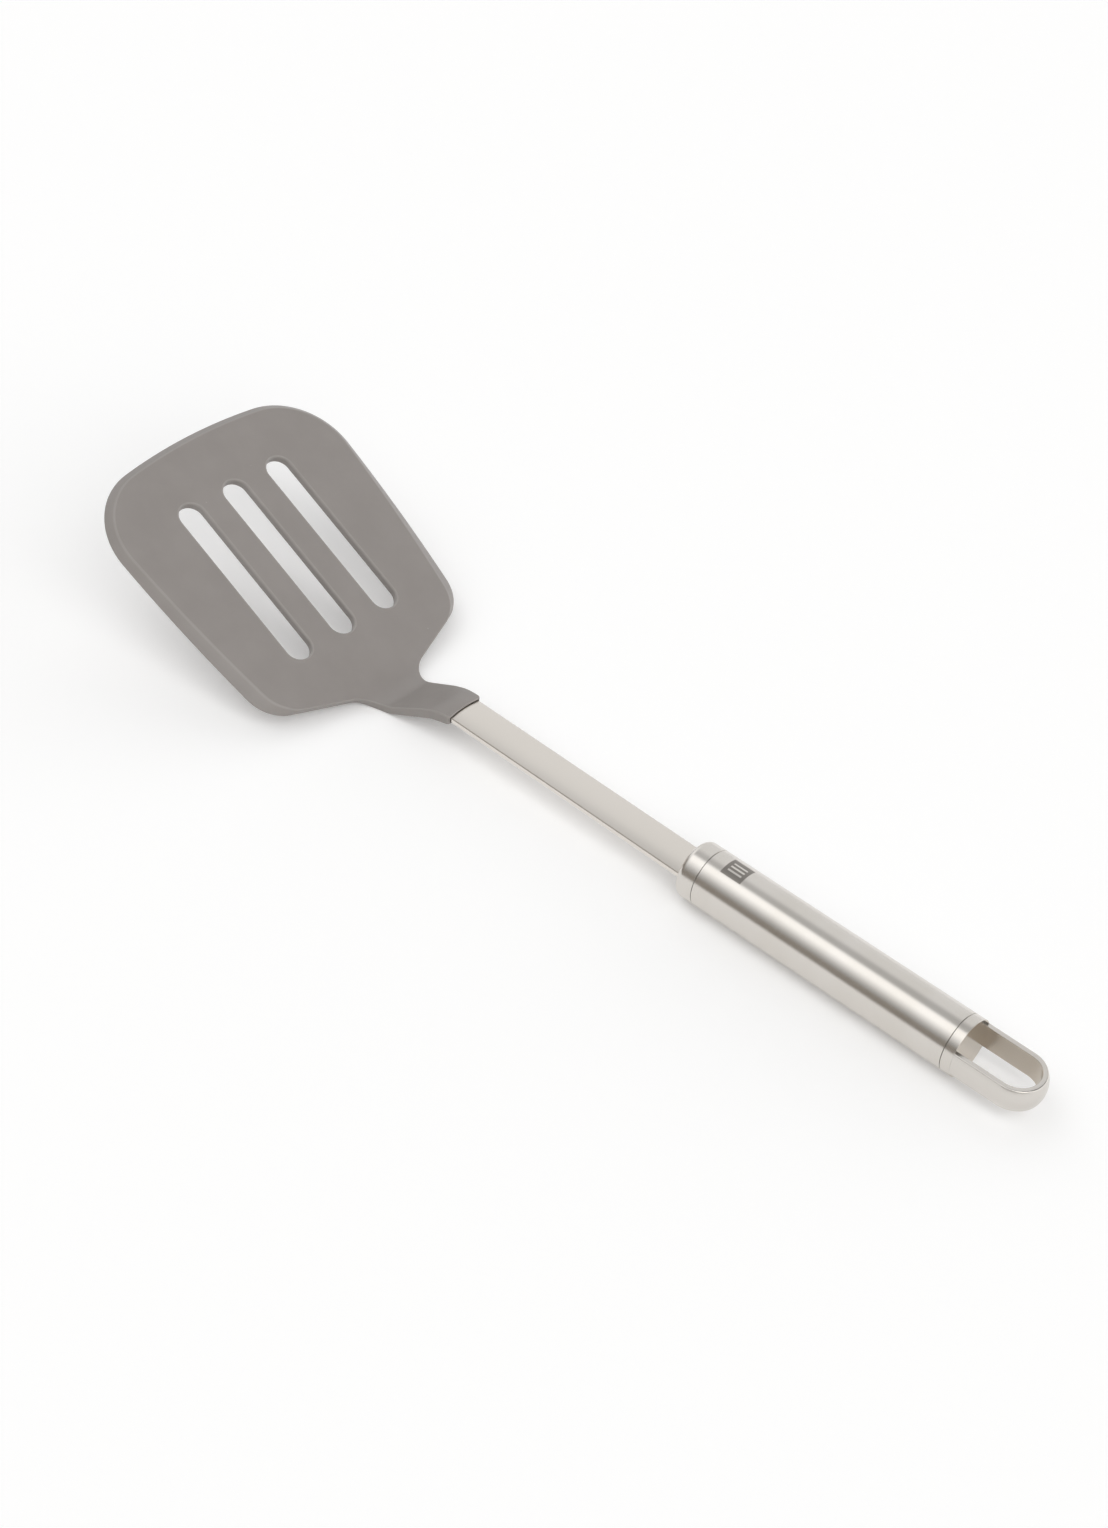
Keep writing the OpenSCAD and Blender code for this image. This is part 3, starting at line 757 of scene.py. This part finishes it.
def trace_slot(work, row, grow, depth):
    """A drain slot as two half circles joined by straight sides."""
    before = set(work.edges)
    radius, across = SLOT_W / 2 + grow, row * SLOT_PITCH
    ends = []
    for u, side in ((SLOT_END - SLOT_W / 2, 1), (SLOT_START + SLOT_W / 2, -1)):
        start = work.verts.new((u, across - side * radius, depth))
        arc = bmesh.ops.spin(work, geom=[start], cent=(u, across, depth), axis=(0, 0, 1), angle=math.pi,
                             steps=SLOT_STEPS)
        ends.append((start, only(VERT, arc["geom_last"])[0]))
    work.edges.new((ends[0][1], ends[1][0]))
    work.edges.new((ends[1][1], ends[0][0]))
    return [e for e in work.edges if e not in before]


print(len(SLOT_ROWS), "slots of", round(SLOT_END - SLOT_START, 2), "mm by", SLOT_W, "mm")

# %% [markdown]
# ## Side view of the neck
# Seen from the side, the top of the silicone runs down the blade, turns up in a soft valley, climbs the
# neck and bends over to meet the bar. Its underside turns over the heel, which the turner stands on. Both
# lines are walks of straight runs and bends, so a point of the flat plate finds its place by walking the
# same share of each line.

# %% Walk the side view
def heading(angle):
    """Unit direction in the side view."""
    return Vector((math.cos(angle), math.sin(angle)))


def normal_of(angle):
    """Unit normal of a line with that heading."""
    return Vector((-math.sin(angle), math.cos(angle)))


def walk(start, angle, runs, distance):
    """The point reached after a distance along runs of (length, bend)."""
    point = start.copy()
    for length, bend in runs:
        part = min(max(distance, 0), length)
        turned = bend * part / length
        if bend:
            chord = 2 * (length / bend) * math.sin(turned / 2)
            point += heading(angle + turned / 2) * chord
        else:
            point += heading(angle) * part
        angle += turned
        distance -= part
    return point


# %% Top line, from the blade over the valley and up to the collar
BLADE_ANGLE = math.radians(26.5)
NECK_BEND_R, VALLEY_R = 14, 9
HEEL_LIFT, BEND_START = 1.5, 14
COLLAR_LIP, COLLAR_UNDER = 0.8, 0.6
heel = Vector((COLLAR_X - NECK_LEN, HEEL_LIFT))
blade_way = Vector((-math.cos(BLADE_ANGLE), math.sin(BLADE_ANGLE)))
blade_up = Vector((math.sin(BLADE_ANGLE), math.cos(BLADE_ANGLE)))
bar_at_collar = Vector((COLLAR_X, AXIS_Z - (COLLAR_X - SEAM_X) * math.tan(SHANK_RISE)))
bar_up = Vector((math.sin(SHANK_RISE), math.cos(SHANK_RISE)))
collar_top = bar_at_collar + bar_up * (SHANK_SIDE / 2 + SHANK_CROWN + COLLAR_LIP)
collar_low = bar_at_collar - bar_up * (SHANK_SIDE / 2 + COLLAR_UNDER)

neck_top = crossing(collar_top, normal_of(-SHANK_RISE), heel, normal_of(NECK_SLOPE))
valley_turn = BLADE_ANGLE + NECK_SLOPE
top_turn = NECK_SLOPE + SHANK_RISE
valley_run = VALLEY_R * math.tan(valley_turn / 2)
top_run = NECK_BEND_R * math.tan(top_turn / 2)
top_runs = [(BEND_START - valley_run, 0), (VALLEY_R * valley_turn, valley_turn),
            ((neck_top - heel).length - valley_run - top_run, 0), (NECK_BEND_R * top_turn, -top_turn),
            ((collar_top - neck_top).length - top_run, 0)]
print("top line is", round(sum(length for length, _ in top_runs), 2), "mm from the blade to the collar")

# %% Lower line, from the blade over the heel and up to the collar
NECK_UNDER, UNDER_SLOPE = math.radians(25), math.radians(12.5)
UNDER_BEND_R, HEEL_R = 10, 12
heel_ahead = (HEEL_R - BLADE_T - blade_up.y * (HEEL_R - HEEL_LIFT)) / blade_up.x
heel_centre = Vector((heel.x + heel_ahead, HEEL_R))
heel_in = heel_centre - blade_up * HEEL_R
heel_out = heel_centre - normal_of(NECK_UNDER) * HEEL_R
heel_turn = BLADE_ANGLE + NECK_UNDER
low_start = heel + blade_way * BEND_START - blade_up * BLADE_T
low_bend = crossing(heel_out, normal_of(NECK_UNDER), collar_low, normal_of(UNDER_SLOPE))
under_turn = NECK_UNDER - UNDER_SLOPE
under_run = UNDER_BEND_R * math.tan(under_turn / 2)
low_runs = [((low_start - heel_in).length, 0), (HEEL_R * heel_turn, heel_turn),
            ((low_bend - heel_out).length - under_run, 0), (UNDER_BEND_R * under_turn, -under_turn),
            ((collar_low - low_bend).length - under_run, 0)]


def stages(runs):
    """Lengths of the blade part, the turn at the heel and the neck of a side view line."""
    return [runs[0][0], runs[1][0], sum(length for length, _ in runs[2:])]


NECK_START = BEND_START - sum(stages(top_runs))
print("flat plate runs from", round(NECK_START, 2), "to", BLADE_LEN, "mm")

# %% [markdown]
# ## The silicone plate
# The skin is one moulding with a bevelled rim. A Solidify modifier could thicken a flat outline, but its
# rim would be square, so the plate is a stack of outlines. From the top: a support loop that keeps the
# flat face flat, the crease of the rim's bevel, the widest line of the rim, the edge of the underside and
# a support loop there. Bridging neighbours makes the walls, filling between the outer and slot loops
# makes the two faces, and a bevel on each loop of edges gives the moulded roundness.

# %% Stack and bridge the outlines
SUPPORT = 0.9


def bridge(work, upper, lower):
    """Joins two loops drawn in the same order, with the lower one dropped out of the way meanwhile."""
    low_verts = list({v for e in lower for v in e.verts})
    bmesh.ops.translate(work, vec=(0, 0, -BLADE_T), verts=low_verts)
    bmesh.ops.bridge_loops(work, edges=upper + lower)
    bmesh.ops.translate(work, vec=(0, 0, BLADE_T), verts=low_verts)


plate = bmesh.new()
crease_layer = plate.verts.layers.float.new(EDGE_MARK)
stack = [trace(plate, pulleys(NECK_START, bevelled, inset), depth) for bevelled, inset, depth in (
    (1, SUPPORT, 0), (1, 0, 0), (0, 0, -BEVEL_H), (0, 0, -BLADE_T), (0, SUPPORT, -BLADE_T))]
slots = [[trace_slot(plate, row, grow, depth) for grow, depth in (
    (SUPPORT, 0), (0, 0), (0, -BLADE_T), (SUPPORT, -BLADE_T))] for row in SLOT_ROWS]
for loops in [stack] + slots:
    for upper, lower in zip(loops, loops[1:]):
        bridge(plate, upper, lower)
for layer in (0, -1):
    rims = [e for loops in [stack] + slots for e in loops[layer]]
    bmesh.ops.triangle_fill(plate, edges=rims, use_beauty=True, normal=(0, 0, 1))
bmesh.ops.recalc_face_normals(plate, faces=plate.faces)
open_edges = [e for e in plate.edges if not e.is_manifold]
print("plate has", len(plate.faces), "faces and", len(open_edges), "open edges")

# %% Round the plate's edges
CREASE_EASE, RIM_EASE, LOW_EASE, SLOT_EASE = 0.25, 0.15, 0.2, 0.6
EASE_SEGMENTS = 4
slot_tops = [e for loops in slots for e in loops[1]]
slot_lows = [e for loops in slots for e in loops[2]]
for edges, width, creased in ((stack[1], CREASE_EASE, True), (stack[2], RIM_EASE, False),
                              (stack[3], LOW_EASE, False), (slot_tops, SLOT_EASE, True),
                              (slot_lows, LOW_EASE, False)):
    rounded = ease(plate, edges, width, EASE_SEGMENTS)
    # The rim's crease and the slot tops are marked for the silicone's painted highlight.
    if creased:
        for v in rounded["verts"]:
            v[crease_layer] = 1
print("rounded plate has", len(plate.faces), "faces")

# %% [markdown]
# ## Bending the plate
# On the real turner the mould gives the neck its curve. A plate can only bend where it has edges, so it
# is sliced into narrow strips first. A curve modifier could bend it, but it would bend the top and the
# underside alike. Moving each vertex to its own place between the two lines of the side view keeps both
# as drawn, and lets the top of the collar rise into a crown like the bar's.

# %% Cut the neck into short strips
CUT_STEP, CUT_NEAR = 0.7, 0.0005
COLLAR_CUTS, COLLAR_CUTS_END = range(-5, 6), -4


def cut(work, faces, place, normal):
    """Slices faces by a plane."""
    geometry = set(faces) | {e for f in faces for e in f.edges} | {v for f in faces for v in f.verts}
    bmesh.ops.bisect_plane(work, geom=list(geometry), dist=CUT_NEAR, plane_co=place, plane_no=normal)


for i in range(1, int((BEND_START - NECK_START) / CUT_STEP)):
    cut(plate, plate.faces[:], (NECK_START + i * CUT_STEP, 0, 0), (1, 0, 0))
for y in COLLAR_CUTS:
    collar_faces = [f for f in plate.faces if all(v.co.x < COLLAR_CUTS_END for v in f.verts)]
    cut(plate, collar_faces, (0, y, 0), (0, 1, 0))
print("cut plate has", len(plate.faces), "faces")

# %% Bend the plate
COLLAR_CROWN_R = 31
CROWN_START, CROWN_FULL = 11.8, 2.5


def along(runs, other, distance):
    """The distance along another line at the same share of the same stage."""
    done = 0
    for length, other_length in zip(stages(runs), stages(other)):
        if distance <= length:
            return done + distance / length * other_length
        distance -= length
        done += other_length
    return done


def bent(co):
    """Place on the turner of a point of the flat plate."""
    if co.x >= BEND_START:
        spot = heel + blade_way * co.x + blade_up * co.z
        return Vector((spot.x, co.y, spot.y))
    distance = BEND_START - co.x
    top = walk(heel + blade_way * BEND_START, -BLADE_ANGLE, top_runs, distance)
    low = walk(low_start, -BLADE_ANGLE, low_runs, along(top_runs, low_runs, distance))
    crowned = min(max((top.x - COLLAR_X + CROWN_START) / (CROWN_START - CROWN_FULL), 0), 1)
    sag = co.y ** 2 / (2 * COLLAR_CROWN_R) * crowned ** 2 * (3 - 2 * crowned)
    share = -co.z / BLADE_T
    spot = top + (low - top) * share
    return Vector((spot.x, co.y, spot.y - sag * (1 - share)))


for v in plate.verts:
    v.co = bent(v.co)
bmesh.ops.recalc_face_normals(plate, faces=plate.faces)
print("bent plate stands", round(min(v.co.z for v in plate.verts), 3), "mm above the sheet")

# %% [markdown]
# ## The collar's socket
# The silicone is moulded round the end of the bar, so the collar fits it closely. It could be left solid,
# because the bar hides its inside, but then the two pieces would share one place. Cutting it with a
# slightly larger length of the same bar leaves a thin, even gap all round.

# %% Open the collar for the bar, and finish the blade
SOCKET_GAP, SOCKET_END_GAP = 0.3, 0.2
socket_tool = bar_strip(BAR_END - SOCKET_END_GAP, COLLAR_X + OVERCUT, SOCKET_GAP)
plate = combine(plate, socket_tool, "DIFFERENCE")
finish_piece(plate, "silicone_blade_visual", "silicone_blade", silicone_finish,
             flat_faces=False)

# %% [markdown]
# ## What stays hidden
# The stiff core inside the silicone and the braze behind the front cap keep their CAD shapes, because
# nothing of them shows. They still get a finish of their own, so that an opened or cut-away turner looks
# right.

# %% Core and braze finishes
HIDDEN_BUMP = 0.02


def plain_finish(name, first, second, roughness, metallic, scale):
    """A two-tone mottled finish."""
    material, tree, shader, place = new_material(name)
    noise = add(tree, "ShaderNodeTexNoise", Scale=scale, Detail=3.0)
    feed(tree, noise.inputs["Vector"], place)
    mask = between(tree, noise.outputs["Fac"], *BROAD_SPAN, 0, 1)
    feed(tree, shader.inputs["Base Color"], blend_colours(tree, mask, first, second))
    feed(tree, shader.inputs["Roughness"], between(tree, noise.outputs["Fac"], *FINE_SPAN, *roughness))
    feed(tree, shader.inputs["Metallic"], metallic)
    raise_by(tree, noise.outputs["Fac"], shader, HIDDEN_BUMP)
    return material


nylon = plain_finish("nylon_black", (0.045, 0.045, 0.05), (0.06, 0.06, 0.065), roughness=(0.5, 0.65),
                     metallic=0, scale=900)
braze = plain_finish("braze_brass", (0.6, 0.5, 0.34), (0.52, 0.43, 0.3), roughness=(0.35, 0.5),
                     metallic=1, scale=600)
for node, material in (("blade_core", nylon), ("shank_braze", braze)):
    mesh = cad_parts[node].data
    mesh.materials.clear()
    mesh.materials.append(material)
    print(node, "is dressed in", material.name)

# %% [markdown]
# ## The white sheet
# The turner lies on a white sheet that catches its soft shadows. A sheet lit like the turner would look
# pale grey, so it also glows a little. The glow answers only to rays from the lens, from mirrors and
# through glass, so it whitens the background and its reflection in the steel but adds no light to the
# turner.

# %% Lay the sheet
FLOOR_SIZE = 40.0
FLOOR_DROP = 0.02 * MM
sheet = bmesh.new()
bmesh.ops.create_grid(sheet, x_segments=1, y_segments=1, size=FLOOR_SIZE)
bmesh.ops.translate(sheet, vec=(0, 0, -FLOOR_DROP), verts=sheet.verts)
floor_mesh = bpy.data.meshes.new("floor")
sheet.to_mesh(floor_mesh)
sheet.free()
floor = bpy.data.objects.new("floor", floor_mesh)
bpy.context.scene.collection.objects.link(floor)
print("floor is", 2 * FLOOR_SIZE, "m square")

# %% Whiten the sheet
FLOOR_GLOW = 0.124
PAPER_COLOUR, PAPER_ROUGHNESS = (0.93, 0.93, 0.93), 0.9
PLAIN_WHITE = (1, 1, 1)


def white_paper(name):
    """Matte white paper that glows for the rays that look at it."""
    material, tree, shader, _ = new_material(name)
    feed(tree, shader.inputs["Base Color"], PAPER_COLOUR)
    feed(tree, shader.inputs["Roughness"], PAPER_ROUGHNESS)
    feed(tree, shader.inputs["Specular IOR Level"], 0)
    feed(tree, shader.inputs["Emission Color"], PLAIN_WHITE)
    ray = add(tree, "ShaderNodeLightPath").outputs
    looked_at = calculate(tree, "MAXIMUM", ray["Is Camera Ray"], ray["Is Glossy Ray"])
    looked_at = calculate(tree, "MAXIMUM", looked_at, ray["Is Transmission Ray"])
    feed(tree, shader.inputs["Emission Strength"], calculate(tree, "MULTIPLY", looked_at, FLOOR_GLOW))
    return material


floor_mesh.materials.append(white_paper("white_sheet"))
print("sheet glows by", FLOOR_GLOW)

# %% [markdown]
# ## The room's light
# A few lamps could light the turner, but steel shows what surrounds it, so the whole room is painted on
# the world, by the direction of view: x across, y beyond and z up. Low down behind the camera the room is
# dim and warm, and it brightens towards a softbox overhead: that makes the dark line and the bright band
# along the tube. The far side is an even pale wall that dims overhead, and its right part is bright low
# down and dim above, which lights the far bevel of the blade and the bow of the loop. The left end is
# dimmer low down and brighter above. A soft key light beyond the hanging loop throws the blade's shadow
# to the left.

# %% Start the world
world = bpy.data.worlds.new("room")
bpy.context.scene.world = world
world.use_nodes = True
room = world.node_tree
background = room.nodes["Background"]
look = add(room, "ShaderNodeTexCoord").outputs["Generated"]
direction = add(room, "ShaderNodeSeparateXYZ")
feed(room, direction.inputs["Vector"], look)
across, beyond, height = (direction.outputs[axis] for axis in "XYZ")
print("world is", world.name)

# %% Paint the walls
NEAR_LOW, NEAR_HIGH, NEAR_CLIMB, NEAR_RIGHT = 0.3, 1.48, (0.2, 0.84), 0.8
FAR_LOW, FAR_HIGH, FAR_CLIMB, FAR_START = 0.9, 0.55, (0.8, 0.9), (-0.14, 0.04)
RIGHT_LOW, RIGHT_HIGH, RIGHT_CLIMB, RIGHT_START = 1.9, 0.2, (0.22, 0.58), (-0.3, 0.2)
LEFT_LOW, LEFT_HIGH, LEFT_CLIMB, LEFT_END = 0.8, 1.3, (0.1, 0.5), (-0.8, -0.52)
VALUE_SOCKETS, VALUE_RESULT = (0, 2, 3), 0


def blend_values(tree, factor, first, second):
    """Mixes two values, each a number or an output."""
    node = add(tree, "ShaderNodeMix", data_type="FLOAT")
    for socket, given in zip(VALUE_SOCKETS, (factor, first, second)):
        feed(tree, node.inputs[socket], given)
    return node.outputs[VALUE_RESULT]


climb = between(room, height, *NEAR_CLIMB, 0, 1)
near_wall = between(room, calculate(room, "MULTIPLY", climb, climb), 0, 1, NEAR_LOW, NEAR_HIGH)
near_dimmed = between(room, across, *RIGHT_START, 1, NEAR_RIGHT, smooth=True)
near_wall = calculate(room, "MULTIPLY", near_wall, near_dimmed)
right_side = between(room, across, *RIGHT_START, 0, 1, smooth=True)
right_end = between(room, height, *RIGHT_CLIMB, RIGHT_LOW, RIGHT_HIGH, smooth=True)
far_wall = calculate(room, "MULTIPLY", between(room, height, *FAR_CLIMB, FAR_LOW, FAR_HIGH),
                     blend_values(room, right_side, 1, right_end))
far_side = between(room, beyond, *FAR_START, 0, 1, smooth=True)
left_end = between(room, height, *LEFT_CLIMB, LEFT_LOW, LEFT_HIGH, smooth=True)
past_left = between(room, across, *LEFT_END, 0, 1, smooth=True)
walls = calculate(room, "MULTIPLY", blend_values(room, far_side, near_wall, far_wall),
                  blend_values(room, past_left, left_end, 1))
print("near side from", NEAR_LOW, "to", NEAR_HIGH, "and far side from", FAR_LOW, "to", FAR_HIGH)

# %% Add the key light and the warmth
KEY = 1.6
KEY_AZIMUTH, KEY_HEIGHT, KEY_EDGE, KEY_CORE = (math.radians(a) for a in (-25, 40, 35, 12))
WARM_LOW, WARM_CLIMB = (1, 0.91, 0.81), (0.25, 0.5)
to_key = add(room, "ShaderNodeVectorMath", operation="DOT_PRODUCT")
feed(room, to_key.inputs[0], look)
to_key.inputs[1].default_value = (math.cos(KEY_AZIMUTH) * math.cos(KEY_HEIGHT),
                                  math.sin(KEY_AZIMUTH) * math.cos(KEY_HEIGHT), math.sin(KEY_HEIGHT))
key_light = between(room, to_key.outputs["Value"], math.cos(KEY_EDGE), math.cos(KEY_CORE), 0, KEY,
                    smooth=True)
feed(room, background.inputs["Strength"], calculate(room, "ADD", walls, key_light))
high_up = between(room, height, *WARM_CLIMB, 0, 1, smooth=True)
near_colour = blend_colours(room, high_up, WARM_LOW, PLAIN_WHITE)
feed(room, background.inputs["Color"], blend_colours(room, far_side, near_colour, PLAIN_WHITE))
bpy.context.scene.view_settings.view_transform = "Standard"
print("key light of", KEY)
